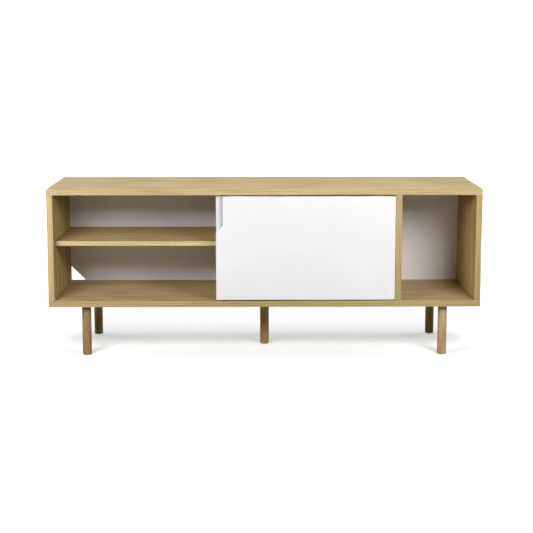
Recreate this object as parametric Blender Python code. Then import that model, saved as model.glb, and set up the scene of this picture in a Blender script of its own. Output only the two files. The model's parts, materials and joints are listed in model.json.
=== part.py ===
"""Low media cabinet: oak-veneered carcass on five round legs, with open bays and one sliding door.

The cabinet stands on z = 0 with its centre over the origin. +X is to the right, the front faces -Y
and +Z is up. Sizes are in metres. The door slides to the left, and each roller spins on its axle.
"""

import math

import bmesh
import bpy
from mathutils import Matrix

# Overall sizes
WIDTH = 1.650
DEPTH = 0.400
HEIGHT = 0.650
CARCASS_HEIGHT = 0.454
PANEL = 0.023
GAP = 0.0003
BEYOND = 0.005
EDGE_ROUNDING = 0.0008
FINE_CHAMFER = 0.0005
SHARP_ANGLE = math.radians(30)
SMOOTH_ANGLE = math.radians(35)

LEFT, RIGHT = -WIDTH / 2, WIDTH / 2
FRONT, REAR = -DEPTH / 2, DEPTH / 2
CARCASS_BOTTOM = HEIGHT - CARCASS_HEIGHT
FLOOR = CARCASS_BOTTOM + PANEL
CEILING = HEIGHT - PANEL
INNER_LEFT, INNER_RIGHT = LEFT + PANEL, RIGHT - PANEL

# Back panel, held in a groove all round
BACK_THICKNESS = 0.005
BACK_LIP = 0.004
BACK_ROUNDING = 0.0004
BACK_GROOVE_DEPTH = 0.006
BACK_CLEARANCE = 0.0005
BACK_ENGAGEMENT = BACK_GROOVE_DEPTH - BACK_CLEARANCE
BACK_REAR = REAR - BACK_LIP - GAP
BACK_FRONT = BACK_REAR - BACK_THICKNESS
CABLE_CORNER = 0.060

# Uprights, housed in the top and bottom panels
RIGHT_DIVIDER_X = 0.510
MIDDLE_DIVIDER_X = -0.1518
HOUSING_DEPTH = 0.004
HOUSING_START = 0.030
SETBACK = 0.042
INNER_REAR = BACK_FRONT - BACK_CLEARANCE

# Shelves and their pins
SHELF_THICKNESS = 0.018
SHELF_TOP = HEIGHT - 0.206
SHELF_BOTTOM = SHELF_TOP - SHELF_THICKNESS
SHELF_END_GAP = 0.001
PIN_PLUG_RADIUS = 0.0025
PIN_NOSE_RADIUS = 0.003
PIN_PLUG_LENGTH = 0.0075
PIN_NOSE_LENGTH = 0.009
PIN_NOSE_CHAMFER = 0.001
PIN_ROWS = {"front": -0.115, "rear": 0.145}

# Dowels in the corner joints
DOWEL_RADIUS = 0.004
DOWEL_IN_PANEL = 0.012
DOWEL_IN_SIDE = 0.018
DOWEL_ROWS = {"front": -0.130, "rear": 0.130}

# Legs
LEG_RADIUS = 0.0175
LEG_STEPS = 36
LEG_X = 0.6875
LEG_Y = 0.157
FOOT_ROUNDING = 0.003
FOOT_STEPS = 3
LEG_FOOT = 0.0015
LEG_TOP = CARCASS_BOTTOM - GAP
BOLT_RADIUS = 0.004
BOLT_IN_LEG = 0.038
BOLT_IN_PANEL = 0.014
INSERT_RADIUS = 0.006
INSERT_FLANGE_RADIUS = 0.008
INSERT_FLANGE = 0.0012
INSERT_LENGTH = 0.015
GLIDE_RADIUS = 0.010
GLIDE_THICKNESS = 0.004
GLIDE_CHAMFER = 0.0008
GLIDE_STEM_RADIUS = 0.002
GLIDE_STEM_LENGTH = 0.012
HOLE_END_CLEARANCE = 0.0005

# Sliding door
DOOR_LEFT = -0.1855
DOOR_WIDTH = 0.6825
DOOR_THICKNESS = 0.018
DOOR_SETBACK = 0.0015
DOOR_GAP_BELOW = 0.004
DOOR_GAP_ABOVE = 0.005
DOOR_BOTTOM = FLOOR + DOOR_GAP_BELOW
DOOR_TOP = CEILING - DOOR_GAP_ABOVE
DOOR_ROUNDING = 0.0015
DOOR_TRAVEL = 0.612
DOOR_FRONT = FRONT + DOOR_SETBACK
DOOR_REAR = DOOR_FRONT + DOOR_THICKNESS
DOOR_MIDDLE_Y = (DOOR_FRONT + DOOR_REAR) / 2
PULL_WIDTH = 0.027
PULL_LENGTH = 0.1145
PULL_DEPTH = 0.013

# Track in the top panel, and the carriages that run in it
HANGER_THICKNESS = 0.0026
HANGER_WIDTH = 0.044
HANGER_NECK = 0.024
HANGER_HEIGHT = 0.050
HANGER_INSET = 0.060
HANGER_STEP = 0.0005
HANGER_EYE = 0.0035
HANGER_REAR = DOOR_REAR - GAP
TRACK_Y = HANGER_REAR - HANGER_THICKNESS / 2
TRACK_WIDTH = 0.014
TRACK_HEIGHT = 0.013
TRACK_WALL = 0.0012
TRACK_SLOT = 0.005
WHEEL_RADIUS = 0.0046
WHEEL_WIDTH = 0.0032
WHEEL_OFFSET = 0.0034
WHEEL_CHAMFER = 0.0004
WHEEL_STEPS = 18
AXLE_RADIUS = 0.0015
AXLE_LENGTH = 0.011
AXLE_CHAMFER = 0.0003
AXLE_Z = CEILING + TRACK_WALL + GAP + WHEEL_RADIUS
NECK_TOP = AXLE_Z + HANGER_EYE
SCREW_Z = DOOR_TOP - 0.030
SCREW_RADIUS = 0.002
SCREW_HEAD_RADIUS = 0.004
SCREW_HEAD_HEIGHT = 0.0022
SCREW_LENGTH = 0.014
SCREW_POINT = 0.002
STOP_LENGTH = 0.014
STOP_CLEARANCE = 0.0005
STOP_SLACK = 0.0004

# Guide fin under the door
GUIDE_LENGTH = 0.024
GUIDE_BASE_WIDTH = 0.014
GUIDE_BASE_HEIGHT = 0.003
GUIDE_FIN = 0.0034
GUIDE_RISE = 0.0115
GUIDE_CHAMFER = 0.0008
GUIDE_X = DOOR_LEFT + (DOOR_WIDTH - DOOR_TRAVEL) / 2
GROOVE_WIDTH = 0.005
GROOVE_DEPTH = 0.0105
GROOVE_INSET = 0.016


def clear_scene():
    for obj in list(bpy.data.objects):
        bpy.data.objects.remove(obj)


def material(name, colour, roughness, metallic=0.0):
    made = bpy.data.materials.new(name)
    made.use_nodes = True
    shader = made.node_tree.nodes["Principled BSDF"]
    shader.inputs["Base Color"].default_value = (*colour, 1.0)
    shader.inputs["Roughness"].default_value = roughness
    shader.inputs["Metallic"].default_value = metallic
    made.diffuse_color = (*colour, 1.0)
    return made


FINISHES = {
    "oak_veneer": ((0.56, 0.45, 0.27), 0.45, 0.0),
    "oak_solid": ((0.50, 0.37, 0.20), 0.5, 0.0),
    "white_lacquer": ((0.86, 0.86, 0.86), 0.35, 0.0),
    "light_lacquer": ((0.72, 0.70, 0.67), 0.5, 0.0),
    "beech": ((0.60, 0.42, 0.25), 0.6, 0.0),
    "aluminium": ((0.75, 0.76, 0.77), 0.35, 1.0),
    "zinc_steel": ((0.62, 0.63, 0.64), 0.35, 1.0),
    "white_plastic": ((0.80, 0.80, 0.78), 0.4, 0.0),
    "black_plastic": ((0.03, 0.03, 0.03), 0.5, 0.0),
}


def mesh_object(name, bm, finish=None):
    """Turns a bmesh into an object with its own material and outward faces."""
    bmesh.ops.recalc_face_normals(bm, faces=bm.faces)
    mesh = bpy.data.meshes.new(name)
    bm.to_mesh(mesh)
    bm.free()
    obj = bpy.data.objects.new(name, mesh)
    bpy.context.scene.collection.objects.link(obj)
    if finish:
        colour, roughness, metallic = FINISHES[finish]
        mesh.materials.append(material(f"{name}_{finish}", colour, roughness, metallic))
    return obj


def smooth(obj):
    obj.data.shade_smooth()
    obj.data.set_sharp_from_angle(angle=SMOOTH_ANGLE)


def prism(name, outline, axis, start, end, finish=None, origin=(0.0, 0.0, 0.0)):
    """Extrudes an outline along axis. Its points give the other two coordinates, in X, Y, Z order."""
    ox, oy, oz = origin
    place = {
        "X": lambda a, b: (start - ox, a - oy, b - oz),
        "Y": lambda a, b: (a - ox, start - oy, b - oz),
        "Z": lambda a, b: (a - ox, b - oy, start - oz),
    }[axis]
    direction = {"X": (1, 0, 0), "Y": (0, 1, 0), "Z": (0, 0, 1)}[axis]
    bm = bmesh.new()
    face = bm.faces.new([bm.verts.new(place(a, b)) for a, b in outline])
    grown = bmesh.ops.extrude_face_region(bm, geom=[face])
    moved = [v for v in grown["geom"] if isinstance(v, bmesh.types.BMVert)]
    bmesh.ops.translate(bm, verts=moved, vec=[d * (end - start) for d in direction])
    obj = mesh_object(name, bm, finish)
    obj.location = origin
    return obj


def box(name, low, high, finish=None, origin=(0.0, 0.0, 0.0)):
    outline = [(low[0], low[1]), (high[0], low[1]), (high[0], high[1]), (low[0], high[1])]
    return prism(name, outline, "Z", low[2], high[2], finish, origin)


def turned(name, profile, place, axis="Z", steps=12, finish=None):
    """Spins (radius, height) points around the Z axis, then turns the piece to lie along axis."""
    bm = bmesh.new()
    verts = [bm.verts.new((r, 0.0, h)) for r, h in profile]
    closed = profile[0][0] > 0.0
    edges = [bm.edges.new(pair) for pair in zip(verts, verts[1:])]
    if closed:
        edges.append(bm.edges.new((verts[-1], verts[0])))
    bmesh.ops.spin(bm, geom=verts + edges, cent=(0, 0, 0), axis=(0, 0, 1), dvec=(0, 0, 0),
                   angle=math.tau, steps=steps, use_merge=True, use_duplicate=False)
    bmesh.ops.remove_doubles(bm, verts=bm.verts, dist=1e-6)
    turn = {"Z": Matrix(), "X": Matrix.Rotation(math.pi / 2, 4, "Y"),
            "Y": Matrix.Rotation(-math.pi / 2, 4, "X")}[axis]
    bmesh.ops.transform(bm, matrix=turn, verts=bm.verts)
    obj = mesh_object(name, bm, finish)
    obj.location = place
    smooth(obj)
    return obj


def rod(radius, start, end, chamfer=FINE_CHAMFER):
    """Profile of a rod with chamfered ends, for turned."""
    return [(0.0, start), (radius - chamfer, start), (radius, start + chamfer),
            (radius, end - chamfer), (radius - chamfer, end), (0.0, end)]


def hole(name, radius, place, start, end, axis="Z"):
    return turned(name, [(0.0, start), (radius, start), (radius, end), (0.0, end)], place, axis)


def round_edges(obj, width=EDGE_ROUNDING, segments=2):
    bevel = obj.modifiers.new("edge_rounding", "BEVEL")
    bevel.width = width
    bevel.segments = segments
    bevel.limit_method = "ANGLE"
    bevel.angle_limit = SHARP_ANGLE


def cut(obj, *cutters):
    for cutter in cutters:
        cutter.hide_render = True
        cutter.display_type = "WIRE"
        boolean = obj.modifiers.new(cutter.name, "BOOLEAN")
        boolean.operation = "DIFFERENCE"
        boolean.solver = "EXACT"
        boolean.object = cutter


SIDES = {"left": -1, "right": 1}
LEGS = {
    "front_left": (-LEG_X, -LEG_Y),
    "front_right": (LEG_X, -LEG_Y),
    "rear_left": (-LEG_X, LEG_Y),
    "rear_right": (LEG_X, LEG_Y),
    "middle": (0.0, 0.0),
}
DIVIDERS = {
    "middle": (MIDDLE_DIVIDER_X, FRONT + SETBACK),
    "right": (RIGHT_DIVIDER_X, FRONT),
}
HANGERS = {
    "left": DOOR_LEFT + HANGER_INSET,
    "right": DOOR_LEFT + DOOR_WIDTH - HANGER_INSET,
}


def horizontal_panels():
    """Top and bottom boards, with the housings, grooves and dowel holes in their inner faces."""
    top = box("top_panel", (LEFT, FRONT, CEILING), (RIGHT, REAR, HEIGHT), "oak_veneer")
    bottom = box("bottom_panel", (LEFT, FRONT, CARCASS_BOTTOM), (RIGHT, REAR, FLOOR), "oak_veneer")
    for panel, face, inward in ((top, CEILING, 1), (bottom, FLOOR, -1)):
        round_edges(panel)
        kind = panel.name.split("_")[0]
        cut(panel, inner_slot(f"{kind}_back_groove", face, inward * BACK_GROOVE_DEPTH,
                              (-INNER_RIGHT - BACK_GROOVE_DEPTH, INNER_RIGHT + BACK_GROOVE_DEPTH),
                              (BACK_FRONT - GAP, BACK_REAR + GAP)))
        for name, (x, front) in DIVIDERS.items():
            half = PANEL / 2 + GAP
            cut(panel, inner_slot(f"{kind}_{name}_housing", face, inward * (HOUSING_DEPTH + GAP),
                                  (x - half, x + half), (front + HOUSING_START - GAP, INNER_REAR + GAP)))
        for side, sign in SIDES.items():
            for row, y in DOWEL_ROWS.items():
                depth = inward * (DOWEL_IN_PANEL + GAP)
                cut(panel, hole(f"{kind}_{side}_{row}_dowel_hole", DOWEL_RADIUS + GAP,
                                (sign * (RIGHT - PANEL / 2), y, face), -inward * BEYOND, depth))
    half = TRACK_WIDTH / 2 + GAP
    cut(top, inner_slot("track_slot", CEILING, TRACK_HEIGHT + GAP,
                        (INNER_LEFT, RIGHT_DIVIDER_X - PANEL / 2), (TRACK_Y - half, TRACK_Y + half)))
    half_x, half_y = GUIDE_LENGTH / 2 + GAP, GUIDE_BASE_WIDTH / 2 + GAP
    cut(bottom, inner_slot("guide_pocket", FLOOR, -GUIDE_BASE_HEIGHT - GAP,
                           (GUIDE_X - half_x, GUIDE_X + half_x),
                           (DOOR_MIDDLE_Y - half_y, DOOR_MIDDLE_Y + half_y)))
    for name, (x, y) in LEGS.items():
        bore = [(0.0, -BEYOND), (INSERT_FLANGE_RADIUS + GAP, -BEYOND),
                (INSERT_FLANGE_RADIUS + GAP, INSERT_FLANGE + GAP), (INSERT_RADIUS + GAP, INSERT_FLANGE + GAP),
                (INSERT_RADIUS + GAP, INSERT_LENGTH + GAP), (0.0, INSERT_LENGTH + GAP)]
        cut(bottom, turned(f"{name}_insert_hole", bore, (x, y, CARCASS_BOTTOM)))


def inner_slot(name, face, depth, x_range, y_range):
    """A box-shaped cutter from just outside a horizontal face to depth inside it."""
    outside = face - math.copysign(BEYOND, depth)
    low, high = sorted((outside, face + depth))
    return box(name, (x_range[0], y_range[0], low), (x_range[1], y_range[1], high))


def pin_hole(name, face_x, sign, y):
    """A blind hole in a vertical face, whose outward normal is sign along X."""
    depth = -sign * (PIN_PLUG_LENGTH + GAP)
    place = (face_x, y, SHELF_BOTTOM - GAP - PIN_NOSE_RADIUS)
    return hole(name, PIN_PLUG_RADIUS + GAP, place, sign * BEYOND, depth, "X")


def side_panels():
    for side, sign in SIDES.items():
        outer, inner = sign * RIGHT, sign * INNER_RIGHT
        low_x, high_x = sorted((outer, inner))
        panel = box(f"{side}_side_panel", (low_x, FRONT, FLOOR + GAP), (high_x, REAR, CEILING - GAP),
                    "oak_veneer")
        round_edges(panel)
        groove_x = sorted((inner - sign * BEYOND, inner + sign * BACK_GROOVE_DEPTH))
        cut(panel, box(f"{side}_back_groove", (groove_x[0], BACK_FRONT - GAP, FLOOR - BEYOND),
                       (groove_x[1], BACK_REAR + GAP, CEILING + BEYOND)))
        for row, y in DOWEL_ROWS.items():
            for end, face, up in (("lower", FLOOR, 1), ("upper", CEILING, -1)):
                cut(panel, hole(f"{side}_{row}_{end}_side_hole", DOWEL_RADIUS + GAP,
                                (sign * (RIGHT - PANEL / 2), y, face), -up * BEYOND,
                                up * (DOWEL_IN_SIDE + GAP)))
        if side == "left":
            for row, y in PIN_ROWS.items():
                cut(panel, pin_hole(f"side_{row}_pin_hole", inner, -sign, y))


def dividers():
    """Uprights with a tongue above and below, notched so that no housing shows at the front."""
    for name, (x, front) in DIVIDERS.items():
        low, high = FLOOR + GAP, CEILING - GAP
        notch = front + HOUSING_START
        outline = [(front, low), (notch, low), (notch, FLOOR - HOUSING_DEPTH),
                   (INNER_REAR, FLOOR - HOUSING_DEPTH), (INNER_REAR, CEILING + HOUSING_DEPTH),
                   (notch, CEILING + HOUSING_DEPTH), (notch, high), (front, high)]
        panel = prism(f"{name}_divider", outline, "X", x - PANEL / 2, x + PANEL / 2, "oak_veneer")
        round_edges(panel)
        faces = {"left": (x - PANEL / 2, -1), "right": (x + PANEL / 2, 1)}
        if name == "right":
            del faces["right"]
        for side, (face, sign) in faces.items():
            for row, y in PIN_ROWS.items():
                cut(panel, pin_hole(f"{name}_divider_{side}_{row}_hole", face, sign, y))


def back_panel():
    left, right = INNER_LEFT - BACK_ENGAGEMENT, INNER_RIGHT + BACK_ENGAGEMENT
    low, high = FLOOR - BACK_ENGAGEMENT, CEILING + BACK_ENGAGEMENT
    corner = CABLE_CORNER + BACK_ENGAGEMENT * 2
    outline = [(left + corner, low), (right, low), (right, high), (left, high), (left, low + corner)]
    panel = prism("back_panel", outline, "Y", BACK_FRONT, BACK_REAR, "light_lacquer")
    round_edges(panel, BACK_ROUNDING, 1)


def shelves():
    ends = {
        "left": (INNER_LEFT, MIDDLE_DIVIDER_X - PANEL / 2),
        "middle": (MIDDLE_DIVIDER_X + PANEL / 2, RIGHT_DIVIDER_X - PANEL / 2),
    }
    for name, (left, right) in ends.items():
        board = box(f"{name}_shelf", (left + SHELF_END_GAP, FRONT + SETBACK, SHELF_BOTTOM),
                    (right - SHELF_END_GAP, INNER_REAR, SHELF_TOP), "oak_veneer")
        round_edges(board)
        for side, face, inward in (("left", left, 1), ("right", right, -1)):
            for row, y in PIN_ROWS.items():
                profile = [(0.0, -PIN_PLUG_LENGTH), (PIN_PLUG_RADIUS, -PIN_PLUG_LENGTH),
                           (PIN_PLUG_RADIUS, GAP), (PIN_NOSE_RADIUS, GAP),
                           (PIN_NOSE_RADIUS, PIN_NOSE_LENGTH - PIN_NOSE_CHAMFER),
                           (PIN_NOSE_RADIUS - PIN_NOSE_CHAMFER, PIN_NOSE_LENGTH), (0.0, PIN_NOSE_LENGTH)]
                facing = [(r, inward * h) for r, h in profile]
                turned(f"{name}_shelf_{side}_{row}_pin", facing,
                       (face, y, SHELF_BOTTOM - GAP - PIN_NOSE_RADIUS), "X", finish="zinc_steel")


def dowels():
    for side, sign in SIDES.items():
        for row, y in DOWEL_ROWS.items():
            for end, face, up in (("lower", FLOOR, 1), ("upper", CEILING, -1)):
                start, stop = sorted((-up * DOWEL_IN_PANEL, up * DOWEL_IN_SIDE))
                turned(f"{end}_{side}_{row}_dowel", rod(DOWEL_RADIUS, start, stop),
                       (sign * (RIGHT - PANEL / 2), y, face), finish="beech")


def legs():
    foot = [(LEG_RADIUS - FOOT_ROUNDING * (1 - math.sin(a)), LEG_FOOT + FOOT_ROUNDING * (1 - math.cos(a)))
            for a in (math.pi / 2 * i / FOOT_STEPS for i in range(FOOT_STEPS + 1))]
    outline = [(0.0, LEG_FOOT), *foot, (LEG_RADIUS, LEG_TOP - FINE_CHAMFER),
               (LEG_RADIUS - FINE_CHAMFER, LEG_TOP), (0.0, LEG_TOP)]
    bolt_bottom = LEG_TOP - BOLT_IN_LEG
    seat = LEG_FOOT - BEYOND
    seat_top = GLIDE_THICKNESS + GAP
    stem_top = GLIDE_THICKNESS + GLIDE_STEM_LENGTH + HOLE_END_CLEARANCE
    glide_seat = [(0.0, seat), (GLIDE_RADIUS + GAP, seat), (GLIDE_RADIUS + GAP, seat_top),
                  (GLIDE_STEM_RADIUS + GAP, seat_top), (GLIDE_STEM_RADIUS + GAP, stem_top), (0.0, stem_top)]
    glide = [(0.0, 0.0), (GLIDE_RADIUS - GLIDE_CHAMFER, 0.0), (GLIDE_RADIUS, GLIDE_CHAMFER),
             (GLIDE_RADIUS, GLIDE_THICKNESS), (GLIDE_STEM_RADIUS, GLIDE_THICKNESS),
             (GLIDE_STEM_RADIUS, GLIDE_THICKNESS + GLIDE_STEM_LENGTH),
             (0.0, GLIDE_THICKNESS + GLIDE_STEM_LENGTH)]
    bush = [(BOLT_RADIUS + GAP, 0.0), (INSERT_FLANGE_RADIUS, 0.0), (INSERT_FLANGE_RADIUS, INSERT_FLANGE),
            (INSERT_RADIUS, INSERT_FLANGE), (INSERT_RADIUS, INSERT_LENGTH),
            (BOLT_RADIUS + GAP, INSERT_LENGTH)]
    for name, (x, y) in LEGS.items():
        leg = turned(f"{name}_leg", outline, (x, y, 0.0), "Z", LEG_STEPS, "oak_solid")
        cut(leg, hole(f"{name}_bolt_hole", BOLT_RADIUS + GAP, (x, y, 0.0), bolt_bottom - HOLE_END_CLEARANCE,
                      LEG_TOP + BEYOND), turned(f"{name}_glide_seat", glide_seat, (x, y, 0.0)))
        turned(f"{name}_leg_bolt", rod(BOLT_RADIUS, bolt_bottom, CARCASS_BOTTOM + BOLT_IN_PANEL),
               (x, y, 0.0), finish="zinc_steel")
        turned(f"{name}_leg_insert", bush, (x, y, CARCASS_BOTTOM), finish="zinc_steel")
        turned(f"{name}_leg_glide", glide, (x, y, 0.0), finish="black_plastic")


def door():
    """Door panel with its finger pull, guide groove and seats for the hangers."""
    right = DOOR_LEFT + DOOR_WIDTH
    at_rest = (DOOR_LEFT, DOOR_MIDDLE_Y, DOOR_BOTTOM)
    panel = box("door_panel", (DOOR_LEFT, DOOR_FRONT, DOOR_BOTTOM), (right, DOOR_REAR, DOOR_TOP),
                "white_lacquer", at_rest)
    round_edges(panel, DOOR_ROUNDING, 3)
    pull_right, pull_bottom = DOOR_LEFT + PULL_WIDTH, DOOR_TOP - PULL_LENGTH
    outline = [(DOOR_LEFT - BEYOND, DOOR_TOP + BEYOND), (pull_right, DOOR_TOP + BEYOND),
               (pull_right, pull_bottom), (DOOR_LEFT - BEYOND, pull_bottom - PULL_WIDTH - BEYOND)]
    cut(panel, prism("pull_recess", outline, "Y", DOOR_FRONT - BEYOND, DOOR_FRONT + PULL_DEPTH))
    half = GROOVE_WIDTH / 2
    cut(panel, box("guide_groove", (DOOR_LEFT + GROOVE_INSET, DOOR_MIDDLE_Y - half, DOOR_BOTTOM - BEYOND),
                   (right - GROOVE_INSET, DOOR_MIDDLE_Y + half, DOOR_BOTTOM + GROOVE_DEPTH)))
    for name, x in HANGERS.items():
        half = HANGER_WIDTH / 2 + GAP
        seat_y = HANGER_REAR - HANGER_THICKNESS - GAP
        cut(panel, box(f"{name}_hanger_seat", (x - half, seat_y, DOOR_TOP - HANGER_HEIGHT - GAP),
                       (x + half, DOOR_REAR + BEYOND, DOOR_TOP + BEYOND)))
        cut(panel, hole(f"{name}_screw_hole", SCREW_RADIUS + GAP, (x, HANGER_REAR, SCREW_Z),
                        -SCREW_LENGTH - GAP, 0.0, "Y"))


def carriages():
    """Hanger plates, their screws, and the roller wheels on their axles."""
    rear = HANGER_REAR
    for name, x in HANGERS.items():
        wide, neck = HANGER_WIDTH / 2, HANGER_NECK / 2
        shoulder = DOOR_TOP - HANGER_STEP
        low = DOOR_TOP - HANGER_HEIGHT
        outline = [(x - wide, low), (x + wide, low), (x + wide, shoulder), (x + neck, shoulder),
                   (x + neck, NECK_TOP), (x - neck, NECK_TOP), (x - neck, shoulder), (x - wide, shoulder)]
        plate = prism(f"{name}_hanger", outline, "Y", rear - HANGER_THICKNESS, rear, "zinc_steel")
        cut(plate, hole(f"{name}_axle_bore", AXLE_RADIUS + GAP, (x, TRACK_Y, AXLE_Z), -BEYOND, BEYOND, "Y"))
        seat = [(0.0, BEYOND), (SCREW_HEAD_RADIUS + GAP, BEYOND), (SCREW_HEAD_RADIUS + GAP, 0.0),
                (SCREW_RADIUS + GAP, -SCREW_HEAD_HEIGHT), (SCREW_RADIUS + GAP, -BEYOND), (0.0, -BEYOND)]
        cut(plate, turned(f"{name}_countersink", seat, (x, rear, SCREW_Z), "Y"))
        screw = [(0.0, -GAP), (SCREW_HEAD_RADIUS, -GAP), (SCREW_RADIUS, -SCREW_HEAD_HEIGHT - GAP),
                 (SCREW_RADIUS, -SCREW_LENGTH + SCREW_POINT), (0.0, -SCREW_LENGTH)]
        turned(f"{name}_hanger_screw", screw, (x, rear, SCREW_Z), "Y", finish="zinc_steel")
        turned(f"{name}_roller_axle", rod(AXLE_RADIUS, -AXLE_LENGTH / 2, AXLE_LENGTH / 2, AXLE_CHAMFER),
               (x, TRACK_Y, AXLE_Z), "Y", finish="zinc_steel")
        for row, sign in (("front", -1), ("rear", 1)):
            half, inner = WHEEL_WIDTH / 2, AXLE_RADIUS + GAP
            rim, side = WHEEL_RADIUS - WHEEL_CHAMFER, half - WHEEL_CHAMFER
            wheel = [(inner, -half), (rim, -half), (WHEEL_RADIUS, -side), (WHEEL_RADIUS, side), (rim, half),
                     (inner, half)]
            turned(f"{name}_{row}_roller_wheel", wheel, (x, TRACK_Y + sign * WHEEL_OFFSET, AXLE_Z), "Y",
                   WHEEL_STEPS, "white_plastic")


def track():
    """Channel with a slot underneath, and the blocks in it that stop the hangers."""
    outer, slot = TRACK_WIDTH / 2, TRACK_SLOT / 2
    inner = outer - TRACK_WALL
    low, high = CEILING, CEILING + TRACK_HEIGHT
    lip, roof = low + TRACK_WALL, high - TRACK_WALL
    half = [(slot, low), (outer, low), (outer, high)]
    inside = [(inner, roof), (inner, lip), (slot, lip)]
    mirrored = [(-y, z) for y, z in reversed(half)]
    outline = half + mirrored + [(-y, z) for y, z in reversed(inside)] + inside
    shifted = [(TRACK_Y + y, z) for y, z in outline]
    prism("door_track", shifted, "X", INNER_LEFT + GAP, RIGHT_DIVIDER_X - PANEL / 2 - GAP, "aluminium")

    block, stem = inner - STOP_SLACK, slot - STOP_SLACK
    ends = {
        "left": HANGERS["left"] - DOOR_TRAVEL - HANGER_NECK / 2 - STOP_CLEARANCE - STOP_LENGTH,
        "right": HANGERS["right"] + HANGER_NECK / 2 + STOP_CLEARANCE,
    }
    outline = [(-stem, low + GAP), (stem, low + GAP), (stem, lip + GAP), (block, lip + GAP),
               (block, roof - GAP), (-block, roof - GAP), (-block, lip + GAP), (-stem, lip + GAP)]
    shifted = [(TRACK_Y + y, z) for y, z in outline]
    for name, start in ends.items():
        prism(f"{name}_door_stop", shifted, "X", start, start + STOP_LENGTH, "black_plastic")


def door_guide():
    base, fin = GUIDE_BASE_WIDTH / 2, GUIDE_FIN / 2
    bottom, tip = FLOOR - GUIDE_BASE_HEIGHT, FLOOR + GUIDE_RISE
    half = [(base, bottom), (base, FLOOR), (fin, FLOOR), (fin, tip - GUIDE_CHAMFER),
            (fin - GUIDE_CHAMFER, tip)]
    outline = half + [(-y, z) for y, z in reversed(half)]
    shifted = [(DOOR_MIDDLE_Y + y, z) for y, z in outline]
    prism("door_guide", shifted, "X", GUIDE_X - GUIDE_LENGTH / 2, GUIDE_X + GUIDE_LENGTH / 2,
          "black_plastic")


clear_scene()
horizontal_panels()
side_panels()
dividers()
back_panel()
shelves()
dowels()
legs()
door()
carriages()
track()
door_guide()
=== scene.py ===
"""Looks of a low media cabinet: veneered oak boards, round oak legs and a white sliding door.

Sizes are in metres, in the frame's axes: +X to the right, the front faces -Y, +Z is up.
"""

import json
import math

import bmesh
import bpy
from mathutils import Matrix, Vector


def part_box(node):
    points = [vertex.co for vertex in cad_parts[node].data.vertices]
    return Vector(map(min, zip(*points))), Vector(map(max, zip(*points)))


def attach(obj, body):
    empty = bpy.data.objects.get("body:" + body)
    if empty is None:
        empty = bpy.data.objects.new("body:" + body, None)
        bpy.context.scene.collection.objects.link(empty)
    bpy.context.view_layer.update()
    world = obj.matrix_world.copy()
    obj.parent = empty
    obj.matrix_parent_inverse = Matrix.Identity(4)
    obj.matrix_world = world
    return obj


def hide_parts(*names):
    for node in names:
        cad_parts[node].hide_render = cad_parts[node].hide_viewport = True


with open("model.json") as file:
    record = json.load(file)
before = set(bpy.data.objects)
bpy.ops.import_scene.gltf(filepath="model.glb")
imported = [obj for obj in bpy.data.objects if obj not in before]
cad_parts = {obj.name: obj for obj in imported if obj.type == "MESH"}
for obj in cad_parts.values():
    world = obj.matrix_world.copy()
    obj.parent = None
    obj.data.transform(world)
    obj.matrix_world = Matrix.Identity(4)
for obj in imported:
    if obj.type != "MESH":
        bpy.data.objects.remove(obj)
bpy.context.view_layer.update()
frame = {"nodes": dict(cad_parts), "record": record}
NODES = frame["nodes"]

# Camera
CAMERA_PLACE = (-0.026, -4.361, 1.188)
CAMERA_PITCH = math.radians(7.23)
CAMERA_YAW = math.radians(-0.45)
CAMERA_LENS = 75.1
CAMERA_SENSOR = 36.0
CAMERA_SHIFT = -0.15

# Wood colours, linear: light, middle and dark streaks
OAK = ((0.53, 0.40, 0.203), (0.445, 0.322, 0.151), (0.335, 0.229, 0.096))
LEG_OAK = ((0.46, 0.325, 0.155), (0.375, 0.252, 0.108), (0.28, 0.175, 0.066))
BEECH = ((0.62, 0.44, 0.28), (0.54, 0.37, 0.22), (0.44, 0.29, 0.16))
COLOUR_STOPS = (0.84, 0.50, 0.16)

# Veneer: leaves side by side, and a band of its own on each front edge
LEAF_WIDTH = 0.134
LEAF_START = 0.2 + LEAF_WIDTH * 0.4
LEAF_SHADES = (0.955, 1.035)
LEAF_JUMP = 2.3
LOG_STEP = 3.17
CHANCE_STEP = 7.3
BAND_THICKNESS = 0.0009
BAND_CONTRAST = 0.22
GLUE_HALF_WIDTH = 0.0001
GLUE_SHADE = 0.72

# Grain: rates are waves per metre along and across it, and pushes move the streaks aside
WAVE_RATES = (1.3, 5.0)
WAVE_DETAIL = 1.5
WAVE_PUSH = 0.075
RIPPLE_RATES = (6.0, 12.0)
RIPPLE_DETAIL = 1.0
RIPPLE_PUSH = 0.010
# streaks: rates, detail, low and high end, weight
STREAKS = (
    ((1.1, 38.0), 2.0, (0.30, 0.70), 0.36),
    ((3.0, 150.0), 3.0, (0.28, 0.72), 0.33),
    ((14.0, 900.0), 2.0, (0.25, 0.75), 0.17),
)
STREAK_ROUGHNESS = 0.55
# growth rings round a heart below the board
RING_WIDTH = 0.0085
RING_WEIGHT = 0.14
RING_WAVE = 0.02
RING_RIPPLE = 0.0015
HEART_DRIFT_RATE = 0.7
HEART_DEPTHS = (0.045, 0.085)
# short dark pores and pale ray flecks: rates, low and high end, strength, shade
PORES = ((70.0, 2300.0), (0.60, 0.72), 0.38, 0.55)
FLECKS = ((60.0, 260.0), (0.66, 0.74), 0.22, 1.12)
MARK_DETAIL = 1.0
WOOD_BUMP = (0.00006, 0.5)
PORE_DEPTH = 0.7
WOOD_ROUGHNESS = (0.60, 0.52)
PORE_ROUGHNESS = 0.15
WOOD_SPECULAR = 0.25
LEG_SLANT = 0.12

# A face looks along an axis when its normal's share of that axis is over this
FACING = 0.7
RECESS_FACING = 0.5

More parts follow.
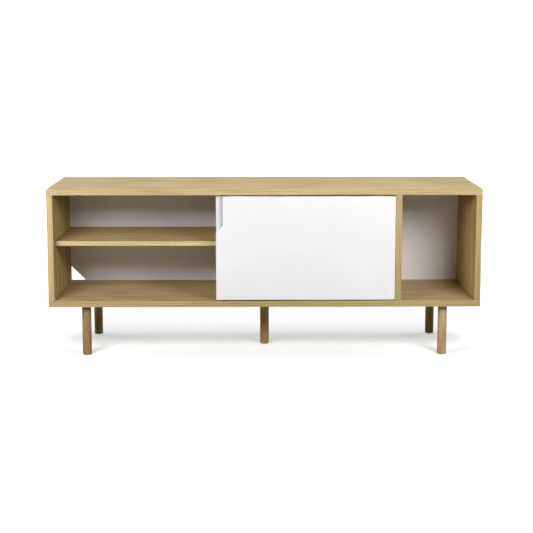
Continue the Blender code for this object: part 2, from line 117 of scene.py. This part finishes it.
# Lacquer, metal and plastic. Patches are slow changes of shade: rate and detail. Bumps are depth
# and strength.
NOISE_SPAN = (0.3, 0.7)
CLOUDS = (5.0, 3.0)
CLOUD_SPAN = (0.35, 0.65)
CLOUD_TINT = (0.985, 0.97515, 0.95545)
CLOUD_ROUGHNESS = (0.03, -0.02)
PEEL_RATE = 900.0
PEEL_DETAIL = 2.0
PEEL_DEPTH = 0.00002
PEEL_STRENGTH = 0.35
RECESS_FADE = 0.003
SCRATCH_RATES = (25.0, 1500.0)
SCRATCH_DETAIL = 2.0
SCRATCH_BUMP = (0.00001, 0.4)
SCRATCH_ROUGHNESS = (-0.06, 0.06)
METAL_PATCHES = (60.0, 3.0)
METAL_SHADE = 0.88
SPARK_RATE = 1400.0
SPARK_DETAIL = 2.0
SPARK_BUMP = (0.00003, 0.5)
SPARK_ROUGHNESS = (-0.05, 0.06)
PLASTIC_PATCHES = (40.0, 2.0)
PLASTIC_SHADE = 0.9

# Door: its finger pull, the radii of its edges and the groove for the guide
PULL_WIDTH = 0.027
PULL_LENGTH = 0.1145
PULL_DEPTH = 0.013
# painted shade on the finger pull's floor, from its left end to its right wall
PULL_PAINTED_SHADES = (0.92, 0.60)
DOOR_RADIUS = 0.0015
PULL_RIM_RADIUS = 0.0022
PULL_CORNER_RADIUS = 0.0035
PULL_LIP_RADIUS = 0.003
BEVEL_STEPS = 5
GROOVE_WIDTH = 0.005
GROOVE_DEPTH = 0.0105
GROOVE_INSET = 0.016
SCREW_HOLE_RADIUS = 0.0023
SCREW_HOLE_STEPS = 24

# Legs
LEG_STEPS = 96
FOOT_RADIUS = 0.003
FOOT_STEPS = 8
SHOULDER_RADIUS = 0.0006
SHOULDER_STEPS = 4
GLIDE_HEAD = 0.004
GLIDE_STEM_RADIUS = 0.002

CLEARANCE = 0.0003
HOLE_END_CLEARANCE = 0.0005
BEYOND = 0.005
SHARP_ANGLE = math.radians(35)

# Grain direction, place in the log, tint of the faces, tint of the front edge. The tints are
# painted light and shade: they make each board's faces and front edge as light and as warm as
# they look lit where they stand. The side boards' faces are less blue, painted warm bounce light.
SIDE_PAINTED_BOUNCE = (1.02, 1.0, 0.86)
SHELF_TINT = (1.06, 1.06, 1.06)
SHELF_EDGE_TINT = (1.33, 1.40, 1.53)
BOARDS = {
    "top_panel": ("X", 1.0, (1.05, 1.09, 1.08), (1.05, 1.10, 1.19)),
    "bottom_panel": ("X", 2.0, (1.04, 1.04, 1.04), (0.95, 0.95, 0.95)),
    "left_shelf": ("X", 3.0, SHELF_TINT, SHELF_EDGE_TINT),
    "middle_shelf": ("X", 4.0, SHELF_TINT, SHELF_EDGE_TINT),
    "left_side_panel": ("Z", 5.0, (0.95, 0.93, 0.78), (1.19, 1.19, 1.19)),
    "right_side_panel": ("Z", 6.0, SIDE_PAINTED_BOUNCE, (0.87, 0.88, 0.78)),
    "middle_divider": ("Z", 7.0, SIDE_PAINTED_BOUNCE, (1.05, 1.05, 1.05)),
    "right_divider": ("Z", 8.0, SIDE_PAINTED_BOUNCE, (1.02, 1.02, 1.0)),
}
BEECH_PLACE = 9.0
FIRST_LEG_PLACE = 11.0
# Painted light and shade on each leg: the rear legs darker, as in the cabinet's shadow, the front
# right one lighter
LEG_PAINTED_LIGHT = {
    "front_left": (0.91, 0.89, 0.87), "front_right": (1.36, 1.45, 1.62),
    "middle": (1.10, 1.03, 0.83),
    "rear_left": (0.93, 0.89, 0.66), "rear_right": (0.83, 0.80, 0.47),
}

# Stage
FLOOR_SIZE = 30.0
FLOOR_HEIGHT = -0.0004
FLOOR_COLOUR = (0.8, 0.8, 0.8)
FLOOR_GLOWS = (0.35, 1.25)
BOUNCE_FLOOR_HEIGHT = -0.0012
BOUNCE_FLOOR_COLOUR = (0.28, 0.28, 0.28)
BACKDROP_RADIUS = 40.0
BACKDROP_GLOW = 1.1
GLOW_START = 1.0
GLOW_END = 3.0
WORLD_GLOW = 0.02
STAGE_PATCHES = (3.0, 2.0)
STAGE_SHADE = 0.995
STAGE_ROUGHNESS = 0.7
# place, aim, width and height, power in watts
LAMPS = {
    "key_right": ((1.2, -1.5, 1.29), (0.4, 0.0, 0.4), (0.74, 0.60), 28.2),
    "key_left": ((-1.2, -1.5, 1.29), (-0.4, 0.0, 0.4), (0.74, 0.60), 30.2),
    "fill": ((0.0, -4.8, 0.8), (0.0, 0.0, 0.6), (8.0, 1.2), 13.5),
    "overhead": ((0.0, 0.6, 3.0), (0.0, 0.4, 0.0), (3.0, 2.0), 45.0),
    "rear": ((0.0, 3.2, 2.0), (0.0, 0.2, 0.3), (4.0, 1.5), 25.0),
    "side_right": ((3.0, 1.3, 1.2), (0.8, 0.1, 0.4), (1.6, 1.2), 30.0),
    "side_left": ((-3.0, 1.3, 1.2), (-0.8, 0.1, 0.4), (1.6, 1.2), 30.0),
}


# ---------------------------------------------------------------- node helpers


class Tree:
    """Short calls for building one material's node tree."""

    def __init__(self, name):
        self.material = bpy.data.materials.new(name)
        self.material.use_nodes = True
        self.tree = self.material.node_tree
        self.shader = self.tree.nodes["Principled BSDF"]
        coordinates = self.tree.nodes.new("ShaderNodeTexCoord")
        self.place = coordinates.outputs["Object"]
        self.normal = coordinates.outputs["Normal"]

    def link(self, source, target):
        self.tree.links.new(source, target)

    def put(self, socket, value):
        """Sets a socket to a number or colour, or links it."""
        if isinstance(value, bpy.types.NodeSocket):
            self.link(value, socket)
        else:
            socket.default_value = (*value, 1.0) if isinstance(value, tuple) else value

    def maths(self, operation, *values):
        node = self.tree.nodes.new("ShaderNodeMath")
        node.operation = operation
        for socket, value in zip(node.inputs, values):
            self.put(socket, value)
        return node.outputs[0]

    def split(self, vector):
        node = self.tree.nodes.new("ShaderNodeSeparateXYZ")
        self.link(vector, node.inputs[0])
        return node.outputs

    def join(self, x, y, z):
        node = self.tree.nodes.new("ShaderNodeCombineXYZ")
        for socket, value in zip(node.inputs, (x, y, z)):
            self.put(socket, value)
        return node.outputs[0]

    def scaled(self, numbers, rates):
        """A vector of numbers, each multiplied by its own rate."""
        return self.join(*(self.maths("MULTIPLY", n, rate) for n, rate in zip(numbers, rates)))

    def noise(self, vector, scale=1.0, detail=2.0, roughness=0.5):
        node = self.tree.nodes.new("ShaderNodeTexNoise")
        self.link(vector, node.inputs["Vector"])
        node.inputs["Scale"].default_value = scale
        node.inputs["Detail"].default_value = detail
        node.inputs["Roughness"].default_value = roughness
        return node.outputs["Fac"]

    def white(self, value):
        node = self.tree.nodes.new("ShaderNodeTexWhiteNoise")
        node.noise_dimensions = "1D"
        self.put(node.inputs["W"], value)
        return node.outputs["Value"]

    def ramp(self, value, stops):
        node = self.tree.nodes.new("ShaderNodeValToRGB")
        self.link(value, node.inputs[0])
        elements = node.color_ramp.elements
        while len(elements) < len(stops):
            elements.new(0.5)
        for element, (place, colour) in zip(elements, stops):
            element.position = place
            element.color = (*colour, 1.0)
        return node.outputs[0]

    def remap(self, value, low, high, to_low=0.0, to_high=1.0):
        node = self.tree.nodes.new("ShaderNodeMapRange")
        self.link(value, node.inputs[0])
        for socket, number in zip(list(node.inputs)[1:5], (low, high, to_low, to_high)):
            self.put(socket, number)
        return node.outputs[0]

    def spread(self, noise, to_low=0.0, to_high=1.0):
        """Stretches the span in which most of a noise lies."""
        return self.remap(noise, *NOISE_SPAN, to_low, to_high)

    def blend(self, factor, a, b, mode="MIX"):
        node = self.tree.nodes.new("ShaderNodeMix")
        node.data_type = "RGBA"
        node.blend_type = mode
        self.put(node.inputs[0], factor)
        colours = [socket for socket in node.inputs if socket.type == "RGBA"]
        for socket, value in zip(colours, (a, b)):
            self.put(socket, value)
        return [socket for socket in node.outputs if socket.type == "RGBA"][0]

    def bump(self, height, distance, strength):
        node = self.tree.nodes.new("ShaderNodeBump")
        node.inputs["Strength"].default_value = strength
        node.inputs["Distance"].default_value = distance
        self.link(height, node.inputs["Height"])
        self.link(node.outputs[0], self.shader.inputs["Normal"])

    def finish(self, colour, roughness, metallic=0.0):
        self.put(self.shader.inputs["Base Color"], colour)
        self.put(self.shader.inputs["Roughness"], roughness)
        self.shader.inputs["Metallic"].default_value = metallic
        return self.material


def scale_colour(colour, factor):
    return tuple(min(1.0, c * factor) for c in colour)


# ------------------------------------------------------------------- materials


def grain_axes(t, grain, seed, slant):
    """Places along the grain, across it and through the board.

    On ends cut across the grain the banding runs along Y.
    """
    x, y, z = t.split(t.place)
    if grain == "X":
        along, across, through, end = x, y, z, 0
    else:
        along, across, through, end = z, y, x, 2
    is_end = t.maths("GREATER_THAN", t.maths("ABSOLUTE", t.split(t.normal)[end]), FACING)

    def turned(own, other):
        return t.maths("ADD", t.maths("MULTIPLY", is_end, t.maths("SUBTRACT", other, own)), own)

    turned_along = turned(along, across)
    slanted = t.maths("ADD", turned(across, along), t.maths("MULTIPLY", turned_along, slant))
    return t.maths("ADD", turned_along, seed * LOG_STEP), slanted, through


def grain_noise(t, axes, rates, detail, roughness=0.5):
    """Noise that is drawn out along the grain."""
    rate_along, rate_across = rates
    place = t.scaled(axes, (rate_along, rate_across, rate_across))
    return t.noise(place, detail=detail, roughness=roughness)


def growth_rings(t, axes, from_heart, wave, ripple, seed):
    """Rings round a heart that slowly comes nearer and goes away, which draws long arches."""
    along, _, through = axes
    drift = t.noise(t.join(t.maths("MULTIPLY", along, HEART_DRIFT_RATE), seed, 0.0), detail=0.0)
    depth = t.maths("ADD", through, t.spread(drift, *HEART_DEPTHS))
    offset = t.maths("ADD", from_heart, t.maths("MULTIPLY", wave, RING_WAVE))
    reach = t.maths("SQRT", t.maths("ADD", t.maths("MULTIPLY", offset, offset),
                                    t.maths("MULTIPLY", depth, depth)))
    reach = t.maths("ADD", reach, t.maths("MULTIPLY", ripple, RING_RIPPLE))
    angle = t.maths("MULTIPLY", reach, 2 * math.pi / RING_WIDTH)
    return t.remap(t.maths("SINE", angle), -1.0, 1.0)


def wood_figure(t, axes, bent, from_heart, waves, seed, bolder_on):
    """Light and dark of the grain, from rings and streaks. The rings are bolder on the band."""
    rings = growth_rings(t, axes, from_heart, *waves, seed)
    figure = t.maths("MULTIPLY", rings, RING_WEIGHT)
    for rates, detail, span, weight in STREAKS:
        layer = t.remap(grain_noise(t, bent, rates, detail, STREAK_ROUGHNESS), *span)
        figure = t.maths("ADD", figure, t.maths("MULTIPLY", layer, weight))
    if bolder_on is not None:
        bolder = t.maths("MULTIPLY", bolder_on, BAND_CONTRAST)
        ring_swing = t.maths("SUBTRACT", rings, 0.5)
        figure = t.maths("ADD", figure, t.maths("MULTIPLY", bolder, ring_swing))
    return figure


def marks(t, axes, kind, colour, mark_colour):
    """Short marks along the grain, and the colour with them on it."""
    rates, span, strength, shade = kind
    mark = t.remap(grain_noise(t, axes, rates, MARK_DETAIL), *span)
    factor = t.maths("MULTIPLY", mark, strength)
    return mark, t.blend(factor, colour, scale_colour(mark_colour, shade))


def oak(name, grain, seed, colours=OAK, leaves=True, tone=(1.0, 1.0, 1.0), band=None, front=None,
        slant=0.0):
    """Oak veneer or solid wood. tone tints the piece, and band its front edge, veneered on its own.

    front is where the front edge lies, for the glue line behind its band. slant leans the grain.
    """
    t = Tree(name)
    along, across, through = grain_axes(t, grain, seed, slant)
    if leaves:
        leaf_place = t.maths("DIVIDE", t.maths("ADD", across, LEAF_START), LEAF_WIDTH)
        chance = t.white(t.maths("ADD", t.maths("FLOOR", leaf_place), seed * CHANCE_STEP))
        along = t.maths("ADD", along, t.maths("MULTIPLY", chance, LEAF_JUMP))
        in_leaf = t.maths("SUBTRACT", t.maths("FRACT", leaf_place), 0.5)
        from_heart = t.maths("MULTIPLY", in_leaf, LEAF_WIDTH)
    else:
        chance = t.white(seed * CHANCE_STEP)
        from_heart = across
    axes = (along, across, through)

    # slow waves and quick ripples push the grain lines aside
    wave = t.maths("SUBTRACT", grain_noise(t, axes, WAVE_RATES, WAVE_DETAIL), 0.5)
    ripple = t.maths("SUBTRACT", grain_noise(t, axes, RIPPLE_RATES, RIPPLE_DETAIL), 0.5)
    push = t.maths("ADD", t.maths("MULTIPLY", wave, WAVE_PUSH),
                   t.maths("MULTIPLY", ripple, RIPPLE_PUSH))
    bent = (along, t.maths("ADD", across, push), t.maths("ADD", through, push))

    is_front = t.maths("LESS_THAN", t.split(t.normal)[1], -FACING)
    figure = wood_figure(t, axes, bent, from_heart, (wave, ripple), seed,
                         is_front if band else None)
    colour = t.ramp(figure, sorted(zip(COLOUR_STOPS, colours)))

    # each veneer leaf is a little lighter or darker than the next
    leaf_shade = t.remap(chance, 0.0, 1.0, *LEAF_SHADES)
    if front is not None:
        from_glue = t.maths("SUBTRACT", t.split(t.place)[1], front + BAND_THICKNESS)
        glue = t.maths("LESS_THAN", t.maths("ABSOLUTE", from_glue), GLUE_HALF_WIDTH)
        leaf_shade = t.maths("MULTIPLY", leaf_shade, t.remap(glue, 0.0, 1.0, 1.0, GLUE_SHADE))
    # tone and band carry painted light and shade as well as the wood's own tint
    tints = [t.maths("MULTIPLY", leaf_shade, t.remap(is_front, 0.0, 1.0, face, edge))
             for face, edge in zip(tone, band or tone)]
    colour = t.blend(1.0, colour, t.join(*tints), "MULTIPLY")

    light, _, dark = colours
    pore, colour = marks(t, bent, PORES, colour, dark)
    _, colour = marks(t, axes, FLECKS, colour, light)
    t.bump(t.maths("SUBTRACT", figure, t.maths("MULTIPLY", pore, PORE_DEPTH)), *WOOD_BUMP)
    roughness = t.maths("ADD", t.spread(figure, *WOOD_ROUGHNESS),
                        t.maths("MULTIPLY", pore, PORE_ROUGHNESS))
    t.shader.inputs["Specular IOR Level"].default_value = WOOD_SPECULAR
    return t.finish(colour, roughness)


def lacquer(name, colour, roughness, peel_depth=PEEL_DEPTH, peel_rate=PEEL_RATE, recess=None):
    """Sprayed lacquer: an orange peel too fine to see from far, and a faint cloudiness.

    recess gives the left and right end and the depth of a recess. The faces that look forward
    from its floor get painted shade, darker towards its right end.
    """
    t = Tree(name)
    cloud = t.remap(t.noise(t.place, *CLOUDS), *CLOUD_SPAN)
    mixed = t.blend(cloud, tuple(c * tint for c, tint in zip(colour, CLOUD_TINT)), colour)
    if recess:
        left, right, depth = recess
        x, y, _ = t.split(t.place)
        looks_forward = t.maths("LESS_THAN", t.split(t.normal)[1], -RECESS_FACING)
        is_deep = t.remap(y, depth - RECESS_FADE, depth)
        # painted shade, darker from the pull's left end to its right wall
        painted_shade = t.remap(x, left, right, *PULL_PAINTED_SHADES)
        with_painted_shade = t.blend(1.0, mixed, t.join(painted_shade, painted_shade, painted_shade), "MULTIPLY")
        mixed = t.blend(t.maths("MULTIPLY", looks_forward, is_deep), mixed, with_painted_shade)
    peel = t.spread(t.noise(t.place, peel_rate, PEEL_DETAIL))
    t.bump(peel, peel_depth, PEEL_STRENGTH)
    ends = (roughness + change for change in CLOUD_ROUGHNESS)
    return t.finish(mixed, t.remap(cloud, 0.0, 1.0, *ends))


def metal(name, colour, roughness, axis):
    """Metal with fine lines drawn along one axis and a slightly uneven tone."""
    t = Tree(name)
    slow, quick = SCRATCH_RATES
    rates = [slow if letter == axis else quick for letter in "XYZ"]
    lines = t.noise(t.scaled(t.split(t.place), rates), detail=SCRATCH_DETAIL)
    tone = t.spread(t.noise(t.place, *METAL_PATCHES))
    mixed = t.blend(tone, scale_colour(colour, METAL_SHADE), colour)
    t.bump(lines, *SCRATCH_BUMP)
    ends = (roughness + change for change in SCRATCH_ROUGHNESS)
    return t.finish(mixed, t.spread(lines, *ends), metallic=1.0)


def plastic(name, colour, roughness, spark_rate=SPARK_RATE):
    """Moulded plastic or rubber with a fine spark-eroded texture."""
    t = Tree(name)
    sparks = t.noise(t.place, spark_rate, SPARK_DETAIL)
    tone = t.spread(t.noise(t.place, *PLASTIC_PATCHES))
    mixed = t.blend(tone, scale_colour(colour, PLASTIC_SHADE), colour)
    t.bump(sparks, *SPARK_BUMP)
    ends = (roughness + change for change in SPARK_ROUGHNESS)
    return t.finish(mixed, t.spread(sparks, *ends))


def dress(node, material):
    """Gives a CAD node its material in place of the frame's plain one."""
    mesh = NODES[node].data
    mesh.materials.clear()
    mesh.materials.append(material)


for board, (direction, log_place, tone, band) in BOARDS.items():
    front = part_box(board)[0].y
    dress(board, oak(f"oak_{board}", direction, log_place, tone=tone, band=band, front=front))

DOOR_LOW, DOOR_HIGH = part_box("door_panel")
PULL_RIGHT = DOOR_LOW.x + PULL_WIDTH
PULL_FLOOR = DOOR_LOW.y + PULL_DEPTH
white_door = lacquer("white_lacquer", (0.785, 0.785, 0.79), 0.38,
                     recess=(DOOR_LOW.x, PULL_RIGHT, PULL_FLOOR))
SLOT_MATERIALS = {
    "back_board": lacquer("back_board_lacquer", (0.82, 0.825, 0.86), 0.55, 0.00004, 500.0),
    "door_lacquer": white_door,
    "beech": oak("beech", "Z", BEECH_PLACE, BEECH, leaves=False),
    "track_aluminium": metal("anodised_aluminium", (0.78, 0.79, 0.80), 0.36, "X"),
    "zinc_steel": metal("zinc_plated_steel", (0.62, 0.63, 0.65), 0.32, "Y"),
    "roller_plastic": plastic("white_acetal", (0.74, 0.74, 0.71), 0.42),
    "glide_plastic": plastic("black_polyethylene", (0.025, 0.025, 0.027), 0.5),
    "stop_rubber": plastic("black_rubber", (0.02, 0.02, 0.02), 0.7, 900.0),
}
for part in frame["record"]["subparts"]:
    if part["material_slot"] in SLOT_MATERIALS:
        dress(part["node"], SLOT_MATERIALS[part["material_slot"]])


# ------------------------------------------------------------- detailed pieces


def link_to_scene(obj):
    bpy.context.scene.collection.objects.link(obj)
    return obj


def mesh_object(name, bm):
    """Turns a finished bmesh into an object of the scene."""
    mesh = bpy.data.meshes.new(name)
    bm.to_mesh(mesh)
    bm.free()
    return link_to_scene(bpy.data.objects.new(name, mesh))


def piece(name, bm, node, body, material):
    """Puts a finished mesh in the place of one CAD node."""
    bmesh.ops.recalc_face_normals(bm, faces=bm.faces)
    obj = mesh_object(name, bm)
    obj.data.materials.append(material)
    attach(obj, body)
    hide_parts(node)
    return obj


def apply_modifiers(obj):
    graph = bpy.context.evaluated_depsgraph_get()
    mesh = bpy.data.meshes.new_from_object(obj.evaluated_get(graph))
    obj.modifiers.clear()
    obj.data = mesh


def smooth_edges(obj):
    """Smooth rounded edges between flat faces that stay flat."""
    obj.data.shade_smooth()
    obj.data.set_sharp_from_angle(angle=SHARP_ANGLE)
    weighted = obj.modifiers.new("weighted_normals", "WEIGHTED_NORMAL")
    weighted.keep_sharp = True
    apply_modifiers(obj)


def lathe(outline, place, axis, steps):
    """A surface turned round an axis. The outline's ends lie on the axis."""
    bm = bmesh.new()
    rings = []
    for radius, height in outline:
        ring = []
        for i in range(steps if radius > 0 else 1):
            angle = 2 * math.pi * i / steps
            a, b = radius * math.cos(angle), radius * math.sin(angle)
            offset = (a, b, height) if axis == "Z" else (a, height, b)
            ring.append(bm.verts.new(Vector(place) + Vector(offset)))
        rings.append(ring)
    for near, far in zip(rings, rings[1:]):
        for i in range(steps):
            corners = [near[i % len(near)], near[(i + 1) % len(near)],
                       far[(i + 1) % len(far)], far[i % len(far)]]
            bm.faces.new(list(dict.fromkeys(corners)))
    return bm


def arc(centre, radius, start, end, steps):
    """Points on an arc, with angles in degrees from the first axis."""
    angles = [math.radians(start + (end - start) * i / steps) for i in range(steps + 1)]
    return [(centre[0] + radius * math.cos(a), centre[1] + radius * math.sin(a)) for a in angles]


def leg_piece(corner, material):
    """Turned leg with a rounded foot, the hole for its bolt and the seat for its glide."""
    low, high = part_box(f"{corner}_leg")
    bolt_low, bolt_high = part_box(f"{corner}_leg_bolt")
    glide_low, glide_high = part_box(f"{corner}_leg_glide")
    middle = (low + high) / 2
    radius = (high.x - low.x) / 2
    bolt = (bolt_high.x - bolt_low.x) / 2 + CLEARANCE
    glide = (glide_high.x - glide_low.x) / 2 + CLEARANCE
    stem = GLIDE_STEM_RADIUS + CLEARANCE
    bolt_end = bolt_low.z - HOLE_END_CLEARANCE
    stem_end = glide_high.z + HOLE_END_CLEARANCE
    seat = glide_low.z + GLIDE_HEAD + CLEARANCE
    shoulder = (radius - SHOULDER_RADIUS, high.z - SHOULDER_RADIUS)
    foot = (radius - FOOT_RADIUS, low.z + FOOT_RADIUS)
    outline = [(0.0, bolt_end), (bolt, bolt_end), (bolt, high.z)]
    outline += arc(shoulder, SHOULDER_RADIUS, 90, 0, SHOULDER_STEPS)
    outline += arc(foot, FOOT_RADIUS, 0, -90, FOOT_STEPS)
    outline += [(glide, low.z), (glide, seat), (stem, seat), (stem, stem_end), (0.0, stem_end)]
    bm = lathe(outline, (middle.x, middle.y, 0.0), "Z", LEG_STEPS)
    leg = piece(f"{corner}_leg_turned", bm, f"{corner}_leg", "cabinet", material)
    smooth_edges(leg)


def block(low, high):
    """A loose box that cuts a piece and is then thrown away."""
    bm = bmesh.new()
    bmesh.ops.create_cube(bm, size=1.0)
    size, middle = Vector(high) - Vector(low), (Vector(high) + Vector(low)) / 2
    for vertex in bm.verts:
        vertex.co = middle + Vector(c * s for c, s in zip(vertex.co, size))
    return bm


def carve(obj, cutters):
    """Cuts meshes out of an object."""
    loose = []
    for bm in cutters:
        bmesh.ops.recalc_face_normals(bm, faces=bm.faces)
        cutter = mesh_object("cutter", bm)
        boolean = obj.modifiers.new("cut", "BOOLEAN")
        boolean.operation = "DIFFERENCE"
        boolean.solver = "EXACT"
        boolean.object = cutter
        loose.append(cutter)
    apply_modifiers(obj)
    for cutter in loose:
        bpy.data.objects.remove(cutter)


def door_blank():
    """Sharp-edged door with its finger pull, open at the left and at the top.

    Each edge carries its radius as a bevel weight, a share of the largest. Returns that too.
    """
    low, high = DOOR_LOW, DOOR_HIGH
    pull_z = high.z - PULL_LENGTH
    bm = bmesh.new()

    def vertex(x, y, z):
        return bm.verts.new((x, y, z))

    # corners of the front, of the recess's floor and of the back
    front = [vertex(low.x, low.y, low.z), vertex(high.x, low.y, low.z),
             vertex(high.x, low.y, high.z)]
    rim = [vertex(PULL_RIGHT, low.y, high.z), vertex(PULL_RIGHT, low.y, pull_z),
           vertex(low.x, low.y, pull_z - PULL_WIDTH)]
    floor = [vertex(v.co.x, PULL_FLOOR, v.co.z) for v in rim]
    lip = vertex(low.x, PULL_FLOOR, high.z)
    back = [vertex(low.x, high.y, low.z), vertex(high.x, high.y, low.z),
            vertex(high.x, high.y, high.z), vertex(low.x, high.y, high.z)]
    for corners in (
        front + rim,
        back,
        [front[0], front[1], back[1], back[0]],
        [front[1], front[2], back[2], back[1]],
        [front[2], rim[0], floor[0], lip, back[3], back[2]],
        [rim[2], front[0], back[0], back[3], lip, floor[2]],
        [rim[0], rim[1], floor[1], floor[0]],
        [rim[1], rim[2], floor[2], floor[1]],
        floor + [lip],
    ):
        bm.faces.new(corners)

    radii = {
        (rim[0], rim[1]): PULL_RIM_RADIUS, (rim[1], rim[2]): PULL_RIM_RADIUS,
        (floor[0], floor[1]): PULL_CORNER_RADIUS, (floor[1], floor[2]): PULL_CORNER_RADIUS,
        (rim[1], floor[1]): PULL_CORNER_RADIUS, (floor[2], lip): PULL_LIP_RADIUS,
    }
    largest = max(radii.values())
    weight = bm.edges.layers.float.new("bevel_weight_edge")
    for edge in bm.edges:
        edge[weight] = DOOR_RADIUS / largest
    for pair, radius in radii.items():
        bm.edges.get(pair)[weight] = radius / largest
    return bm, largest


def door_cutters():
    """What is milled out of the door: the groove, and the hangers' seats and screw holes."""
    low, high = DOOR_LOW, DOOR_HIGH
    middle_y = (low.y + high.y) / 2
    cutters = [block((low.x + GROOVE_INSET, middle_y - GROOVE_WIDTH / 2, low.z - BEYOND),
                     (high.x - GROOVE_INSET, middle_y + GROOVE_WIDTH / 2, low.z + GROOVE_DEPTH))]
    for side in ("left", "right"):
        plate_low, plate_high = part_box(f"{side}_hanger")
        screw_low, screw_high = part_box(f"{side}_hanger_screw")
        gap = Vector((CLEARANCE,) * 3)
        cutters.append(block(plate_low - gap,
                             (plate_high.x + CLEARANCE, high.y + BEYOND, high.z + BEYOND)))
        tip = screw_low.y - CLEARANCE
        hole = [(0.0, tip), (SCREW_HOLE_RADIUS, tip), (SCREW_HOLE_RADIUS, high.y), (0.0, high.y)]
        centre = (screw_low + screw_high) / 2
        cutters.append(lathe(hole, (centre.x, 0.0, centre.z), "Y", SCREW_HOLE_STEPS))
    return cutters


def door_piece(material):
    """Door panel with soft edges and a milled finger pull."""
    bm, largest_radius = door_blank()
    obj = piece("door_panel_soft", bm, "door_panel", "door", material)
    bevel = obj.modifiers.new("soft_edges", "BEVEL")
    bevel.width = largest_radius
    bevel.segments = BEVEL_STEPS
    bevel.limit_method = "WEIGHT"
    apply_modifiers(obj)
    carve(obj, door_cutters())
    smooth_edges(obj)


# each leg's tint is painted light and shade
for log_place, (corner, tone) in enumerate(LEG_PAINTED_LIGHT.items()):
    leg_piece(corner, oak(f"oak_{corner}_leg", "Z", FIRST_LEG_PLACE + log_place, LEG_OAK,
                          leaves=False, tone=tone, slant=LEG_SLANT))
door_piece(white_door)


# ------------------------------------------------------------ floor and lights


def stage_material(name, colour, near_glow, far_glow):
    """A pale stage surface. Its own glow rises away from the middle, where the lamps fade."""
    t = Tree(name)
    tone = t.spread(t.noise(t.place, *STAGE_PATCHES))
    x, y, _ = t.split(t.place)
    distance = t.maths("SQRT", t.maths("ADD", t.maths("MULTIPLY", x, x), t.maths("MULTIPLY", y, y)))
    t.put(t.shader.inputs["Emission Color"], (1.0, 1.0, 1.0))
    t.put(t.shader.inputs["Emission Strength"],
          t.remap(distance, GLOW_START, GLOW_END, near_glow, far_glow))
    mixed = t.blend(tone, scale_colour(colour, STAGE_SHADE), colour)
    return t.finish(mixed, STAGE_ROUGHNESS)


def seen_only_by_camera(obj):
    for ray in ("diffuse", "glossy", "transmission", "volume_scatter", "shadow"):
        setattr(obj, f"visible_{ray}", False)


def floor_plane(name, height, material):
    half = FLOOR_SIZE / 2
    corners = [(-half, -half, 0), (half, -half, 0), (half, half, 0), (-half, half, 0)]
    mesh = bpy.data.meshes.new(name)
    mesh.from_pydata(corners, [], [(0, 1, 2, 3)])
    mesh.materials.append(material)
    obj = link_to_scene(bpy.data.objects.new(name, mesh))
    obj.location.z = height
    return obj


def backdrop(material):
    """A white dome around everything."""
    bm = bmesh.new()
    bmesh.ops.create_icosphere(bm, subdivisions=4, radius=BACKDROP_RADIUS)
    bmesh.ops.reverse_faces(bm, faces=bm.faces)
    obj = mesh_object("backdrop", bm)
    obj.data.materials.append(material)
    return obj


def softbox(name, place, aim, size, power):
    lamp = bpy.data.lights.new(name, "AREA")
    lamp.shape = "RECTANGLE"
    lamp.size, lamp.size_y = size
    lamp.energy = power
    obj = link_to_scene(bpy.data.objects.new(name, lamp))
    obj.location = place
    obj.rotation_euler = (Vector(aim) - Vector(place)).to_track_quat("-Z", "Y").to_euler()
    obj.visible_camera = False


# The camera sees a floor that is lifted to white around the shadow. The object is lit by light
# off a plain, darker one just below it.
bounce_floor = floor_plane("bounce_floor", BOUNCE_FLOOR_HEIGHT,
                           stage_material("bounce_floor", BOUNCE_FLOOR_COLOUR, 0.0, 0.0))
bounce_floor.visible_camera = False
seen_only_by_camera(floor_plane("floor", FLOOR_HEIGHT,
                                stage_material("floor", FLOOR_COLOUR, *FLOOR_GLOWS)))
seen_only_by_camera(backdrop(stage_material("backdrop", (0.0, 0.0, 0.0),
                                            BACKDROP_GLOW, BACKDROP_GLOW)))

for lamp_name, lamp_values in LAMPS.items():
    softbox(lamp_name, *lamp_values)

world = bpy.data.worlds.new("studio")
bpy.context.scene.world = world
world.use_nodes = True
world.node_tree.nodes["Background"].inputs["Color"].default_value = (1.0, 1.0, 1.0, 1.0)
world.node_tree.nodes["Background"].inputs["Strength"].default_value = WORLD_GLOW
bpy.context.scene.view_settings.view_transform = "Standard"

camera = link_to_scene(bpy.data.objects.new("camera", bpy.data.cameras.new("camera")))
camera.data.lens = CAMERA_LENS
camera.data.sensor_width = CAMERA_SENSOR
camera.data.shift_y = CAMERA_SHIFT
camera.location = CAMERA_PLACE
camera.rotation_euler = (math.pi / 2 - CAMERA_PITCH, 0.0, CAMERA_YAW)
bpy.context.scene.camera = camera
